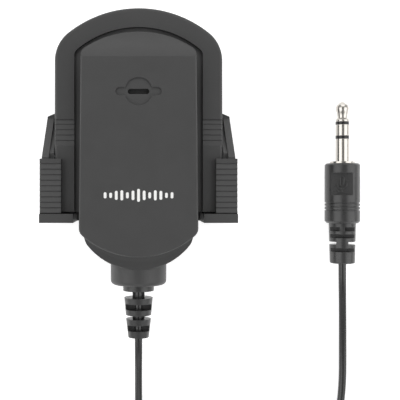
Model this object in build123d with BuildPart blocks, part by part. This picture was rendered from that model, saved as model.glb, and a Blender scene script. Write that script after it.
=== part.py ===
from build123d import *
import math
import os

# A clip-on microphone lying on its back on a table, in millimetres.
# +X is to its right, +Y towards the top of its arch, +Z up to its front face.
# The origin is under the middle of the microphone, on the table.

# ---------------------------------------------------------------- driving sizes

# Layers, from the table up
lever_plate_t = 1.8  # floor of the rear lever
jaw_gap = 6.2  # clear height between lever floor and clip plate
web_t = 1.5  # floor of the clip plate's pocket
arm_t = 5.0  # full thickness of the clip plate
case_depth = 7.0
cover_depth = 3.5

# Head, seen from the front
cover_top_y = 34.5
cover_length = 54.6
cover_top_half = 13.9
cover_flare = 0.5  # the cover is this much wider each side at its lower end
cover_top_rise = 4.8
cover_bottom_rise = 5.9
cover_wall = 1.4
face_t = 1.6
cover_edge_r = 0.4
crown_length = 6.3  # top end of the face, which curves down
crown_start = 9.0  # its slope where it starts, in degrees
crown_end = 26.0  # its slope at the top edge
case_inset = 1.2  # the case is this much narrower each side than the cover
case_wall = 1.4
case_floor_t = 1.3
chin_reach = 3.65
chin_drop = 1.1
chin_rise = 6.9
chin_rim = 0.25  # bevel along the chin's rim

# Sound port and the capsule behind it
port_y = 19.8
port_r = 3.4
port_depth = 0.5
wing_length = 11.2
wing_w = 2.0
slot_length = 5.25
slot_w = 1.28
felt_t = 0.6
capsule_r = 4.85
capsule_h = 4.6
boot_wall = 1.15
boot_lip_t = 0.6
can_wall = 0.3
board_t = 0.6

# Cable boss at the lower end
boss_r = 7.1
boss_length = 12.2
boss_reach = 4.25  # how far the boss stands out past the chin
boss_bore_r = 5.0
boss_end_t = 2.0
boss_edge_r = 1.1
boss_chamfer = 2.2
boss_front_t = 1.5

# Clip plate
pocket_gap = 1.6  # between the cover's edge and the pocket, each side
pocket_top_gap = 2.17
pocket_rise = 6.1
ledge_drop = 1.1  # from the arms' top down to the ledge round the case
case_play = 0.3
arm_w = 4.95
arch_w = 4.88
arch_rise = 9.3
shoulder_r = 8.9
plate_length = 50.99
plate_edge_r = 0.7
rib_pitch = 1.34
rib_count = 5
rib_depth = 0.35
rib_zone_y = 13.8  # upper end of the ribbed zone

# Rear lever
hinge_rise = 13.74  # hinge axis above the arms' lower ends
cheek_gap = 1.35
cheek_t = 1.75
grip_overhang = 0.35  # a grip's side stands out this much past the cheek
grip_over = 5.27  # width of a grip
grip_t = 1.7
grip_gap = 0.5  # between a grip and the arm under it
grip_length = 13.6
grip_lip = 1.35
grip_teeth = 9
tooth_depth = 0.32
foot_gap = 0.4
foot_t = 2.22
foot_clear = 1.7  # from the cover's side to a foot's inner end
foot_proud = 0.1
foot_top = 0.4  # how far a foot stands above the grips
tongue_half = 12.0
tongue_tip_y = 38.6
jaw_clear = 0.12  # between the jaw's teeth and the clip plate at rest

# Hinge pins, spring and screws
pin_r = 1.0
pin_head_r = 1.5
pin_head_t = 0.5
pin_play = 0.04
pin_engage = 2.5
spring_r = 2.6
spring_wire_r = 0.3
spring_turns = 5
spring_y = -4.0
spigot_r = 1.8
spigot_h = 1.3
screw_r = 1.0
screw_head_r = 1.8
screw_head_t = 1.3
screw_play = 0.03
screw_length = 6.0
screw_clear = 0.15  # round a screw that passes freely
screw_sink = 0.4  # how deep a case screw's head lies
plate_screw_sink = 0.05
plate_screw_head_t = 0.85
cross_length = 2.0
cross_w = 0.45

# Strain relief and cable
cable_d = 2.0
relief_length = 13.5
collar_r = 3.95
collar_t = 1.6
core_wall = 0.55  # round the cable, between the relief's segments
core_web = 0.7  # thickness left beside the cable where the front and back are open
window_wall = 0.25
spigot_hole_r = 2.5

# Plug, a 3.5 mm jack lying on its moulded grip
plug_x = 53.1
plug_tip_y = 19.0
jack_r = 1.75
jack_length = 15.56
grip_body_r = 4.5
grip_body_length = 15.5
boot_length = 10.44
plug_turn = 15.0  # the grip lies turned about its own axis, in degrees

# Stored coil
coil_x = 25.0
coil_y = -90.0
coil_columns = 5
coil_layers = 4
coil_inner_r = 9.7  # centre of the innermost turns
tie_t = 0.6
tie_w = 4.0

# ---------------------------------------------------------------- worked out from them

plate_z = lever_plate_t + jaw_gap
case_z = plate_z + web_t
arm_top_z = plate_z + arm_t
cover_z = case_z + case_depth
face_z = cover_z + cover_depth
chin_z = cover_z - chin_drop
hinge_z = plate_z + arm_t / 2

cover_bottom_y = cover_top_y - cover_length
cover_bottom_half = cover_top_half + cover_flare
case_half = cover_bottom_half - case_inset
case_top_y = cover_top_y - case_inset
chin_y = cover_bottom_y - chin_reach
fold_y = cover_top_y - crown_length

pocket_half = cover_bottom_half + pocket_gap
pocket_top_y = cover_top_y + pocket_top_gap
plate_half = pocket_half + arm_w
plate_top_y = pocket_top_y + arch_w
plate_bottom_y = plate_top_y - plate_length

hinge_y = plate_bottom_y + hinge_rise
cheek_inner = plate_half + cheek_gap
cheek_outer = cheek_inner + cheek_t
lever_half = cheek_outer + grip_overhang
grip_z = arm_top_z + grip_gap
grip_top_y = hinge_y - 0.5
grip_bottom_y = grip_top_y - grip_length
foot_top_y = plate_bottom_y - foot_gap
foot_bottom_y = foot_top_y - foot_t
foot_z = grip_z + grip_t + foot_top
foot_inner = cover_bottom_half + foot_clear

boss_end_y = chin_y - boss_reach
boss_start_y = boss_end_y + boss_length
boss_z = chin_z - boss_r - 0.1
boss_bore_end_y = boss_end_y + boss_end_t
relief_end_y = boss_end_y - relief_length
cable_r = cable_d / 2
core_r = cable_r + core_wall

os.makedirs("parts", exist_ok=True)


def closed_outline(half_top, half_bottom, top_y, top_rise, bottom_y, bottom_rise, top_r, bottom_r):
    """A face with straight sides, an arched top, a bowed bottom and rounded corners."""
    with BuildSketch() as outline:
        with BuildLine():
            ThreePointArc((-half_top, top_y - top_rise), (0, top_y), (half_top, top_y - top_rise))
            Line((half_top, top_y - top_rise), (half_bottom, bottom_y + bottom_rise))
            ThreePointArc(
                (half_bottom, bottom_y + bottom_rise), (0, bottom_y), (-half_bottom, bottom_y + bottom_rise)
            )
            Line((-half_bottom, bottom_y + bottom_rise), (-half_top, top_y - top_rise))
        make_face()
        fillet(outline.vertices().group_by(Axis.Y)[0], bottom_r)
        fillet(outline.vertices().group_by(Axis.Y)[-1], top_r)
    return outline.sketch


def cover_outline(inset):
    """The front cover's outline, drawn in by inset."""
    return closed_outline(
        cover_top_half - inset,
        cover_bottom_half - inset,
        cover_top_y - inset,
        cover_top_rise,
        cover_bottom_y + inset,
        cover_bottom_rise,
        2.0,
        2.5,
    )


def case_outline(share):
    """The rear case's outline: share 0 is flush with the cover, share 1 is the chin's rim."""
    flush = 0.25
    return closed_outline(
        case_half,
        cover_bottom_half - flush - (case_inset - flush) * share,
        case_top_y,
        cover_top_rise,
        cover_bottom_y + flush - (chin_reach + flush) * share,
        cover_bottom_rise + (chin_rise - cover_bottom_rise) * share,
        2.0,
        2.5,
    )


def arched_outline(half, top_y, rise, corner_r, bottom_y):
    """A face with an arched top, straight sides and a straight bottom edge."""
    with BuildSketch() as outline:
        with BuildLine():
            ThreePointArc((-half, top_y - rise), (0, top_y), (half, top_y - rise))
            Line((half, top_y - rise), (half, bottom_y))
            Line((half, bottom_y), (-half, bottom_y))
            Line((-half, bottom_y), (-half, top_y - rise))
        make_face()
        fillet(outline.vertices().group_by(Axis.Y)[-1], corner_r)
    return outline.sketch


tooth_rise = 0.82  # share of a tooth's pitch over which it rises


def saw_points(start_y, pitch, count, low_z, high_z):
    """Points of a row of teeth that rise towards -Y and drop back at each pitch."""
    points = []
    for tooth in range(count):
        points.append((start_y - tooth * pitch, low_z))
        points.append((start_y - (tooth + tooth_rise) * pitch, high_z))
    return points


# ---------------------------------------------------------------- front cover

start_sine = math.sin(math.radians(crown_start))
start_cosine = math.cos(math.radians(crown_start))
crown_r = crown_length / (math.sin(math.radians(crown_end)) - start_sine)
crown_y = fold_y - crown_r * start_sine
crown_z = face_z - crown_r * start_cosine
ceiling_z = face_z - face_t
boot_r = capsule_r + boot_wall
capsule_front_z = ceiling_z - felt_t - boot_lip_t
capsule_back_z = capsule_front_z - capsule_h
post_r = 2.3
post_foot_z = case_z + 3.5
post_gap = 0.4  # between the upper post and the boot's ring
post_flange = 0.3
ring_play = 0.05
ring_t = 1.0
ring_h = 4.0
case_screw_places = [
    (0, port_y + boot_r + post_gap + post_r),
    (9.0, cover_bottom_y + 8.6),
    (-9.0, cover_bottom_y + 8.6),
]


def above_crown(inset):
    """What lies above the curved top end of the face, with the curve drawn in by inset."""
    curve_r = crown_r - inset
    edge_y = crown_y + curve_r * start_sine
    with BuildPart() as space:
        with BuildSketch(Plane.YZ.offset(-cover_bottom_half)):
            with Locations((edge_y, crown_z)):
                Rectangle(crown_r, crown_r + 1, align=(Align.MIN, Align.MIN))
            with Locations((crown_y, crown_z)):
                Circle(curve_r, mode=Mode.SUBTRACT)
        extrude(amount=2 * cover_bottom_half)
    return space.part


with BuildPart() as cover_cavity:
    with BuildSketch(Plane.XY.offset(cover_z)):
        add(cover_outline(cover_wall))
    extrude(amount=cover_depth - face_t)
    add(above_crown(face_t), mode=Mode.SUBTRACT)

with BuildPart() as front_cover:
    with BuildSketch(Plane.XY.offset(cover_z)):
        add(cover_outline(0))
    extrude(amount=cover_depth)
    add(above_crown(0), mode=Mode.SUBTRACT)
    face_edges = front_cover.faces().sort_by(Axis.Z)[-1].edges()
    fillet(face_edges.filter_by(lambda edge: edge.center().Y < fold_y - 0.01), cover_edge_r)
    add(cover_cavity.part, mode=Mode.SUBTRACT)
    # The round recess with its two wings, and the slot through the face
    with BuildSketch(Plane.XY.offset(face_z)):
        with Locations((0, port_y)):
            Circle(port_r)
            SlotOverall(wing_length, wing_w)
    extrude(amount=-port_depth, mode=Mode.SUBTRACT)
    with BuildSketch(Plane.XY.offset(face_z)):
        with Locations((0, port_y)):
            SlotOverall(slot_length, slot_w)
    extrude(amount=-face_t, mode=Mode.SUBTRACT)
    # A ring that holds the capsule's boot, and three posts for the case screws
    with BuildSketch(Plane.XY.offset(ceiling_z)):
        with Locations((0, port_y)):
            Circle(boot_r + ring_play + ring_t)
            Circle(boot_r + ring_play, mode=Mode.SUBTRACT)
    extrude(amount=-ring_h)
    with BuildSketch(Plane.XY.offset(post_foot_z)):
        with Locations(*case_screw_places):
            Circle(post_r)
            Circle(screw_r + screw_play, mode=Mode.SUBTRACT)
    extrude(amount=ceiling_z - post_foot_z)

# ---------------------------------------------------------------- rear case with its cable boss

plate_screw_places = [(8.0, hinge_y), (-8.0, hinge_y)]
boss_axis = Axis((0, 0, boss_z), (0, 1, 0))
boss_plane = Plane(origin=(0, 0, boss_z), x_dir=(1, 0, 0), z_dir=(0, 0, 1))

with BuildPart() as boss_body:
    with BuildSketch(boss_plane):
        with BuildLine():
            Polyline(
                (0, boss_start_y),
                (boss_r - boss_chamfer, boss_start_y),
                (boss_r, boss_start_y - boss_chamfer),
                (boss_r, boss_end_y),
                (0, boss_end_y),
                close=True,
            )
        make_face()
    revolve(axis=boss_axis)
    fillet(boss_body.edges().filter_by(GeomType.CIRCLE).group_by(Axis.Y)[0], boss_edge_r)

with BuildPart() as case_cavity:
    with BuildSketch(Plane.XY.offset(case_z + case_floor_t)):
        add(
            closed_outline(
                case_half - case_wall,
                case_half - case_wall,
                case_top_y - case_wall,
                cover_top_rise,
                cover_bottom_y + 1.0,
                cover_bottom_rise,
                1.5,
                2.0,
            )
        )
    extrude(amount=case_depth - case_floor_t)

# The chin: a shallow cove from the rim up to the cover's edge
with BuildPart() as chin_cove:
    with BuildSketch(Plane.XY.offset(chin_z - chin_rim)):
        add(case_outline(1))
    for share in (0.94, 0.75, 0.45, 0.2, 0):
        with BuildSketch(Plane.XY.offset(chin_z + chin_drop * (1 - math.sqrt(share * (2 - share))))):
            add(case_outline(share))
    loft(ruled=True)

with BuildPart() as rear_case:
    with BuildSketch(Plane.XY.offset(case_z)):
        add(case_outline(1))
    extrude(amount=chin_z - chin_rim - case_z)
    add(chin_cove.part)
    add(boss_body.part)
    add(case_cavity.part, mode=Mode.SUBTRACT)
    # The boss is hollow, and open to the case above its floor
    with BuildSketch(Plane.XZ.offset(boss_front_t - boss_start_y)):
        with Locations((0, boss_z)):
            Circle(boss_bore_r)
    extrude(amount=boss_length - boss_front_t - boss_end_t, mode=Mode.SUBTRACT)
    with BuildSketch(Plane.XZ.offset(-boss_bore_end_y)):
        with Locations((0, boss_z)):
            Circle(spigot_hole_r)
    extrude(amount=boss_end_t, mode=Mode.SUBTRACT)
    # Posts for the case screws, with counterbored holes from the back
    with BuildSketch(Plane.XY.offset(case_z)):
        with Locations(*case_screw_places):
            Circle(post_r + post_flange)
    extrude(amount=post_foot_z - case_z)
    with Locations(*[(x, y, case_z) for x, y in case_screw_places]):
        with Locations(Rotation(180, 0, 0)):
            CounterBoreHole(
                screw_r + screw_clear,
                screw_head_r + screw_clear,
                screw_head_t + screw_sink,
                post_foot_z - case_z,
            )
    # Blind bosses for the two screws that hold the clip plate
    with BuildSketch(Plane.XY.offset(case_z)):
        with Locations(*plate_screw_places):
            Circle(post_r)
            Circle(screw_r + screw_play, mode=Mode.SUBTRACT)
    extrude(amount=screw_length)
    with BuildSketch(Plane.XY.offset(case_z)):
        with Locations(*plate_screw_places):
            Circle(screw_r + screw_play)
    extrude(amount=screw_length - 1.0, mode=Mode.SUBTRACT)

# ---------------------------------------------------------------- capsule and what holds it

with BuildPart() as sound_felt:
    with BuildSketch(Plane.XY.offset(ceiling_z - felt_t)):
        with Locations((0, port_y)):
            Circle(boot_r - 0.1)
    extrude(amount=felt_t)

with BuildPart() as capsule_boot:
    with BuildSketch(Plane.XY.offset(capsule_back_z - 0.4)):
        with Locations((0, port_y)):
            Circle(boot_r)
    extrude(amount=capsule_h + boot_lip_t + 0.4)
    with BuildSketch(Plane.XY.offset(capsule_back_z - 0.4)):
        with Locations((0, port_y)):
            Circle(capsule_r + 0.02)
    extrude(amount=capsule_h + 0.4, mode=Mode.SUBTRACT)
    with BuildSketch(Plane.XY.offset(capsule_front_z)):
        with Locations((0, port_y)):
            Circle(capsule_r - 1.6)
    extrude(amount=boot_lip_t, mode=Mode.SUBTRACT)

with BuildPart() as capsule_can:
    with BuildSketch(Plane.XY.offset(capsule_back_z)):
        with Locations((0, port_y)):
            Circle(capsule_r)
    extrude(amount=capsule_h)
    with BuildSketch(Plane.XY.offset(capsule_back_z)):
        with Locations((0, port_y)):
            Circle(capsule_r - can_wall)
    extrude(amount=capsule_h - can_wall, mode=Mode.SUBTRACT)
    with BuildSketch(Plane.XY.offset(capsule_front_z)):
        with Locations((0, port_y)):
            with PolarLocations(1.8, 6):
                Circle(0.35)
    extrude(amount=-can_wall, mode=Mode.SUBTRACT)

inside_r = capsule_r - can_wall - 0.02
film_z = capsule_front_z - can_wall - 0.4

with BuildPart() as capsule_diaphragm:
    with BuildSketch(Plane.XY.offset(film_z)):
        with Locations((0, port_y)):
            Circle(inside_r)
    extrude(amount=0.4)
    with BuildSketch(Plane.XY.offset(film_z + 0.08)):
        with Locations((0, port_y)):
            Circle(inside_r - 0.8)
    extrude(amount=0.32, mode=Mode.SUBTRACT)

with BuildPart() as capsule_backplate:
    with BuildSketch(Plane.XY.offset(film_z - 0.7)):
        with Locations((0, port_y)):
            Circle(inside_r - 0.3)
            with PolarLocations(2.2, 4):
                Circle(0.4, mode=Mode.SUBTRACT)
    extrude(amount=0.6)

with BuildPart() as capsule_board:
    with BuildSketch(Plane.XY.offset(capsule_back_z)):
        with Locations((0, port_y)):
            Circle(inside_r)
    extrude(amount=board_t)

# ---------------------------------------------------------------- cable end, leads and strain relief

tail_start_y = boss_start_y - 3.4
crimp_length = 3.0

with BuildPart() as cable_tail:
    with BuildSketch(Plane.XZ.offset(-tail_start_y)):
        with Locations((0, boss_z)):
            Circle(cable_r)
    extrude(amount=tail_start_y - relief_end_y)

with BuildPart() as cable_crimp:
    with BuildSketch(Plane.XZ.offset(0.8 - tail_start_y)):
        with Locations((0, boss_z)):
            Circle(cable_r + 1.1)
            Circle(cable_r, mode=Mode.SUBTRACT)
    extrude(amount=crimp_length)

lead_r = 0.3
lead_z = case_z + case_floor_t + 0.8
for lead_name, side in (("signal_lead", 1), ("ground_lead", -1)):
    with BuildPart() as lead:
        with BuildLine():
            FilletPolyline(
                (side * 0.5, tail_start_y, boss_z),
                (side * 0.5, tail_start_y + 0.9, boss_z),
                (side * 0.6, tail_start_y + 1.3, lead_z),
                (side * 1.6, tail_start_y + 9.0, lead_z - 0.2),
                (side * 1.3, port_y, lead_z),
                (side * 1.3, port_y + 0.3, capsule_back_z),
                radius=[0.5, 0.5, 6.0, 0.12],
            )
        with BuildSketch(Plane.XZ.offset(-tail_start_y)):
            with Locations((side * 0.5, boss_z)):
                Circle(lead_r)
        sweep()
    lead.part.label = lead_name
    export_step(lead.part, "parts/" + lead_name + ".step")

# Each segment: distance of its upper and lower ends and its window's ends from the boss
relief_segments = [
    {"start": 3.4, "end": 7.8, "top_r": 3.65, "low_r": 3.25, "window": (4.9, 6.4)},
    {"start": 8.8, "end": 13.5, "top_r": 3.2, "low_r": 2.65, "window": (10.3, 11.8)},
]

with BuildPart() as strain_relief:
    with BuildSketch(boss_plane):
        with BuildLine():
            Polyline(
                (0, boss_bore_end_y + 1.5),
                (spigot_hole_r + 1.6, boss_bore_end_y + 1.5),
                (spigot_hole_r + 1.6, boss_bore_end_y),
                (spigot_hole_r - 0.03, boss_bore_end_y),
                (spigot_hole_r - 0.03, boss_end_y),
                (collar_r, boss_end_y),
                (collar_r, boss_end_y - collar_t),
                (core_r, boss_end_y - collar_t),
                (core_r, relief_end_y),
                (0, relief_end_y),
                close=True,
            )
        make_face()
        for segment in relief_segments:
            with BuildLine():
                Polyline(
                    (0, boss_end_y - segment["start"]),
                    (segment["top_r"], boss_end_y - segment["start"]),
                    (segment["low_r"], boss_end_y - segment["end"]),
                    (0, boss_end_y - segment["end"]),
                    close=True,
                )
            make_face()
    revolve(axis=boss_axis)
    # Windows and gaps, open at the front and at the back down to a thin web beside the cable
    openings = [(collar_t, relief_segments[0]["start"], core_r + 0.5)]
    openings.append((relief_segments[0]["end"], relief_segments[1]["start"], core_r + 0.5))
    for segment in relief_segments:
        half_width = (segment["top_r"] + segment["low_r"]) / 2 - window_wall
        openings.append((*segment["window"], half_width))
    for upper, lower, half_width in openings:
        for facing in (1, -1):
            with Locations(
                (0, boss_end_y - (upper + lower) / 2, boss_z + facing * (core_web / 2 + collar_r / 2))
            ):
                Box(2 * half_width, lower - upper, collar_r, mode=Mode.SUBTRACT)
    with BuildSketch(Plane.XZ.offset(-boss_bore_end_y - 1.5)):
        with Locations((0, boss_z)):
            Circle(cable_r)
    extrude(amount=boss_bore_end_y + 1.5 - relief_end_y, mode=Mode.SUBTRACT)

# ---------------------------------------------------------------- clip plate

rib_zone_length = rib_count * rib_pitch
ridge_w = 0.5
ridge_height = 0.7  # half of it stands out of the plate's back
ridge_pitch = 1.5

with BuildPart() as clip_plate:
    with BuildSketch(Plane.XY.offset(plate_z)):
        add(arched_outline(plate_half, plate_top_y, arch_rise, shoulder_r, plate_bottom_y))
    extrude(amount=arm_t)
    top_edges = clip_plate.faces().sort_by(Axis.Z)[-1].edges()
    fillet(top_edges.filter_by(lambda edge: edge.center().Y > plate_bottom_y + 0.01), plate_edge_r)
    with BuildSketch(Plane.XY.offset(arm_top_z - ledge_drop)):
        add(arched_outline(pocket_half, pocket_top_y, pocket_rise, 2.0, plate_bottom_y - 1))
    extrude(amount=arm_t, mode=Mode.SUBTRACT)
    # The case's own seat, inside the ledge
    with BuildSketch(Plane.XY.offset(case_z)):
        add(
            arched_outline(
                case_half + case_play,
                case_top_y + case_play,
                cover_top_rise,
                2.0,
                plate_bottom_y - 1,
            )
        )
    extrude(amount=arm_t, mode=Mode.SUBTRACT)
    # Ribbed zones on the arms
    with BuildSketch(Plane.YZ.offset(-plate_half - 1)):
        with BuildLine():
            teeth = saw_points(
                rib_zone_y - 0.12, rib_pitch, rib_count, arm_top_z - rib_depth, arm_top_z - 0.12
            )
            Polyline(
                (rib_zone_y, arm_top_z + 1),
                *teeth,
                (rib_zone_y - rib_zone_length, arm_top_z),
                (rib_zone_y - rib_zone_length, arm_top_z + 1),
                close=True,
            )
        make_face()
    extrude(amount=2 * plate_half + 2, mode=Mode.SUBTRACT)
    # Holes for the hinge pins, screws and the spigot that centres the spring
    for side in (1, -1):
        with BuildSketch(Plane.YZ.offset(side * (plate_half - pin_engage - 0.1))):
            with Locations((hinge_y, hinge_z)):
                Circle(pin_r + pin_play)
        extrude(amount=side * (pin_engage + 0.2), mode=Mode.SUBTRACT)
    with Locations(*[(x, y, plate_z) for x, y in plate_screw_places]):
        with Locations(Rotation(180, 0, 0)):
            CounterBoreHole(
                screw_r + screw_clear,
                screw_head_r + screw_clear,
                plate_screw_sink + plate_screw_head_t,
                web_t,
            )
    with BuildSketch(Plane.XY.offset(plate_z)):
        with Locations((0, spring_y)):
            Circle(spigot_r)
    extrude(amount=-spigot_h)
    # Gripping ridges across the back of the arch
    with BuildSketch(Plane.YZ.offset(-tongue_half + 2)):
        for ridge in range(3):
            with Locations((pocket_top_y - 0.6 - ridge_pitch * ridge, plate_z)):
                Rectangle(ridge_w, ridge_height)
    extrude(amount=2 * tongue_half - 4)

# ---------------------------------------------------------------- rear lever

cheek_top_y = hinge_y + 11.1
cheek_lip = 0.4
cheek_z = grip_z + 0.3
web_clear = 0.3
pin_boss_r = pin_r + 0.8
pin_boss_clear = 0.15
web_z = hinge_z + pin_boss_r
web_run_out = 2.4
grip_pitch = (grip_length - grip_lip) / grip_teeth
tongue_root_y = cheek_top_y + 5.0

with BuildPart() as rear_lever:
    # Floor, with sloped shoulders up to the tongue
    with BuildSketch():
        with BuildLine():
            Polyline(
                (cheek_outer, foot_bottom_y),
                (cheek_outer, cheek_top_y),
                (tongue_half, tongue_root_y),
                (-tongue_half, tongue_root_y),
                (-cheek_outer, cheek_top_y),
                (-cheek_outer, foot_bottom_y),
                close=True,
            )
        make_face()
    extrude(amount=lever_plate_t)
    # Tongue: it runs under the arch and rises to the clip plate at its tip
    with BuildSketch(Plane.YZ.offset(-tongue_half)):
        with BuildLine():
            jaw_z = plate_z - ridge_height / 2 - jaw_clear
            Polyline(
                (tongue_root_y - 2, 0),
                (tongue_tip_y - 10.6, 0),
                (tongue_tip_y - 1.2, jaw_z - 2.4),
                (tongue_tip_y, jaw_z - 1.2),
                (tongue_tip_y, jaw_z),
                (tongue_tip_y - 5.2, jaw_z),
                (tongue_tip_y - 5.8, jaw_z - 1.0),
                (tongue_tip_y - 11.6, lever_plate_t),
                (tongue_root_y - 2, lever_plate_t),
                close=True,
            )
        make_face()
    extrude(amount=2 * tongue_half)
    tongue_corners = rear_lever.edges().filter_by(Axis.Z).group_by(Axis.Y)[-1]
    fillet(tongue_corners, 0.8)
    # Cheeks, each with a sloped upper edge
    for side in (1, -1):
        with BuildSketch(Plane.YZ.offset(side * cheek_inner)):
            with BuildLine():
                Polyline(
                    (foot_bottom_y, 0),
                    (foot_bottom_y, cheek_z),
                    (grip_top_y + cheek_lip, cheek_z),
                    (cheek_top_y, lever_plate_t - cheek_lip),
                    (cheek_top_y, 0),
                    close=True,
                )
            make_face()
        extrude(amount=side * cheek_t)
        # A web that backs the cheek, just clear of the arm's side, and slopes down to the floor
        with BuildSketch(Plane.YZ.offset(side * (plate_half + web_clear))):
            with BuildLine():
                Polyline(
                    (foot_bottom_y, 0),
                    (foot_bottom_y, web_z),
                    (hinge_y + pin_r, web_z),
                    (cheek_top_y - web_run_out, lever_plate_t),
                    (cheek_top_y - web_run_out, 0),
                    close=True,
                )
            make_face()
        extrude(amount=side * (cheek_gap - web_clear))
    # Grips over the arms, toothed on top
    for side in (1, -1):
        with BuildSketch(Plane.YZ.offset(side * (lever_half - grip_over))):
            with BuildLine():
                top_z = grip_z + grip_t
                Polyline(
                    (foot_top_y - 0.5, grip_z),
                    (grip_top_y, grip_z),
                    (grip_top_y, top_z),
                    (grip_top_y - grip_lip + (1 - tooth_rise) * grip_pitch, top_z),
                    *saw_points(
                        grip_top_y - grip_lip, grip_pitch, grip_teeth, top_z - tooth_depth, top_z
                    ),
                    (grip_bottom_y, top_z - tooth_depth),
                    (foot_top_y - 0.5, top_z - tooth_depth),
                    close=True,
                )
            make_face()
        extrude(amount=side * grip_over)
    # Foot blocks that close the lower ends of the cheeks
    for side in (1, -1):
        foot_w = lever_half + foot_proud - foot_inner
        with BuildSketch():
            with Locations((side * (foot_inner + foot_w / 2), (foot_top_y + foot_bottom_y) / 2)):
                Rectangle(foot_w, foot_t)
        extrude(amount=foot_z)
    # Bosses that fill the gap between cheek and arm, and the pin holes
    for side in (1, -1):
        with BuildSketch(Plane.YZ.offset(side * (plate_half + pin_boss_clear))):
            with Locations((hinge_y, hinge_z)):
                Circle(pin_boss_r)
        extrude(amount=side * (cheek_gap - pin_boss_clear))
        with BuildSketch(Plane.YZ.offset(side * plate_half)):
            with Locations((hinge_y, hinge_z)):
                Circle(pin_r)
        extrude(amount=side * (cheek_outer - plate_half), mode=Mode.SUBTRACT)
        with BuildSketch(Plane.YZ.offset(side * (cheek_outer - pin_head_t))):
            with Locations((hinge_y, hinge_z)):
                Circle(pin_head_r)
        extrude(amount=side * pin_head_t, mode=Mode.SUBTRACT)
    with BuildSketch(Plane.XY.offset(lever_plate_t)):
        with Locations((0, spring_y)):
            Circle(spigot_r)
    extrude(amount=spigot_h)

# ---------------------------------------------------------------- hinge pins, spring and screws

with BuildPart() as hinge_pins:
    for side in (1, -1):
        with BuildSketch(Plane.YZ.offset(side * (plate_half - pin_engage))):
            with Locations((hinge_y, hinge_z)):
                Circle(pin_r)
        extrude(amount=side * (pin_engage + cheek_outer - plate_half))
        with BuildSketch(Plane.YZ.offset(side * (cheek_outer - pin_head_t))):
            with Locations((hinge_y, hinge_z)):
                Circle(pin_head_r)
        extrude(amount=side * pin_head_t)

spring_end = spring_wire_r + 0.03
spring_height = jaw_gap - 2 * spring_end

with BuildPart() as clip_spring:
    with BuildLine() as spring_line:
        Helix(
            pitch=spring_height / spring_turns,
            height=spring_height,
            radius=spring_r,
            center=(0, spring_y, lever_plate_t + spring_end),
        )
    with BuildSketch(spring_line.line ^ 0):
        Circle(spring_wire_r)
    sweep(is_frenet=True)

with BuildPart() as case_screws:
    head_top_z = case_z + screw_head_t + screw_sink
    with BuildSketch(Plane.XY.offset(head_top_z - screw_head_t)):
        with Locations(*case_screw_places):
            Circle(screw_head_r)
    extrude(amount=screw_head_t)
    with BuildSketch(Plane.XY.offset(head_top_z)):
        with Locations(*case_screw_places):
            Circle(screw_r)
    extrude(amount=screw_length)
    # Crossed driving slots
    with BuildSketch(Plane.XY.offset(head_top_z - screw_head_t)):
        with Locations(*case_screw_places):
            Rectangle(cross_length, cross_w)
            Rectangle(cross_w, cross_length)
    extrude(amount=0.7, mode=Mode.SUBTRACT)

with BuildPart() as plate_screws:
    with BuildSketch(Plane.XY.offset(plate_z + plate_screw_sink)):
        with Locations(*plate_screw_places):
            Circle(screw_head_r)
    extrude(amount=plate_screw_head_t)
    with BuildSketch(Plane.XY.offset(plate_z + plate_screw_sink + plate_screw_head_t)):
        with Locations(*plate_screw_places):
            Circle(screw_r)
    extrude(amount=screw_length - 1.2)
    with BuildSketch(Plane.XY.offset(plate_z + plate_screw_sink)):
        with Locations(*plate_screw_places):
            Rectangle(cross_length, cross_w)
            Rectangle(cross_w, cross_length)
    extrude(amount=0.5, mode=Mode.SUBTRACT)

# ---------------------------------------------------------------- plug

plug_z = grip_body_r
plug_axis = Axis((plug_x, 0, plug_z), (0, 1, 0))
plug_plane = Plane(origin=(plug_x, 0, plug_z), x_dir=(1, 0, 0), z_dir=(0, 0, 1))
flange_t = 0.5
flange_r = 3.2
barrel_r = 2.4
barrel_length = 4.0
rod_r = 0.5
tube_r = 0.95
sleeve_end_y = plug_tip_y - jack_length
grip_end_y = sleeve_end_y - flange_t
barrel_end_y = grip_end_y - barrel_length
body_end_y = grip_end_y - grip_body_length
plug_end_y = body_end_y - boot_length
# Ends of the contacts, measured back from the point of the jack
tip_back_y = plug_tip_y - 5.2
ring_front_y = plug_tip_y - 6.0
ring_back_y = plug_tip_y - 8.85
sleeve_front_y = plug_tip_y - 9.7


def turned(points):
    """A solid turned about the plug's axis from (radius, y) points."""
    with BuildPart() as body:
        with BuildSketch(plug_plane):
            with BuildLine():
                Polyline(*points, close=True)
            make_face()
        revolve(axis=plug_axis)
    return body.part


with BuildPart() as plug_tip:
    with BuildSketch(plug_plane):
        with BuildLine():
            Polyline(
                (0, barrel_end_y + 0.5),
                (0, plug_tip_y),
                (0.55, plug_tip_y - 0.1),
                (1.5, plug_tip_y - 0.9),
            )
            Spline(
                (1.5, plug_tip_y - 0.9),
                (1.64, plug_tip_y - 1.35),
                (1.45, plug_tip_y - 3.0),
                (1.3, plug_tip_y - 4.3),
            )
            Polyline(
                (1.3, plug_tip_y - 4.3),
                (1.62, plug_tip_y - 4.5),
                (jack_r, plug_tip_y - 4.7),
                (jack_r, tip_back_y),
                (rod_r, tip_back_y),
                (rod_r, barrel_end_y + 0.5),
                (0, barrel_end_y + 0.5),
            )
        make_face()
    revolve(axis=plug_axis)

with BuildPart() as plug_insulator:
    add(
        turned(
            [
                (rod_r + 0.02, tip_back_y),
                (jack_r, tip_back_y),
                (jack_r, ring_front_y),
                (tube_r, ring_front_y),
                (tube_r, ring_back_y),
                (jack_r, ring_back_y),
                (jack_r, sleeve_front_y),
                (tube_r, sleeve_front_y),
                (tube_r, barrel_end_y + 1),
                (rod_r + 0.02, barrel_end_y + 1),
            ]
        )
    )

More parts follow.
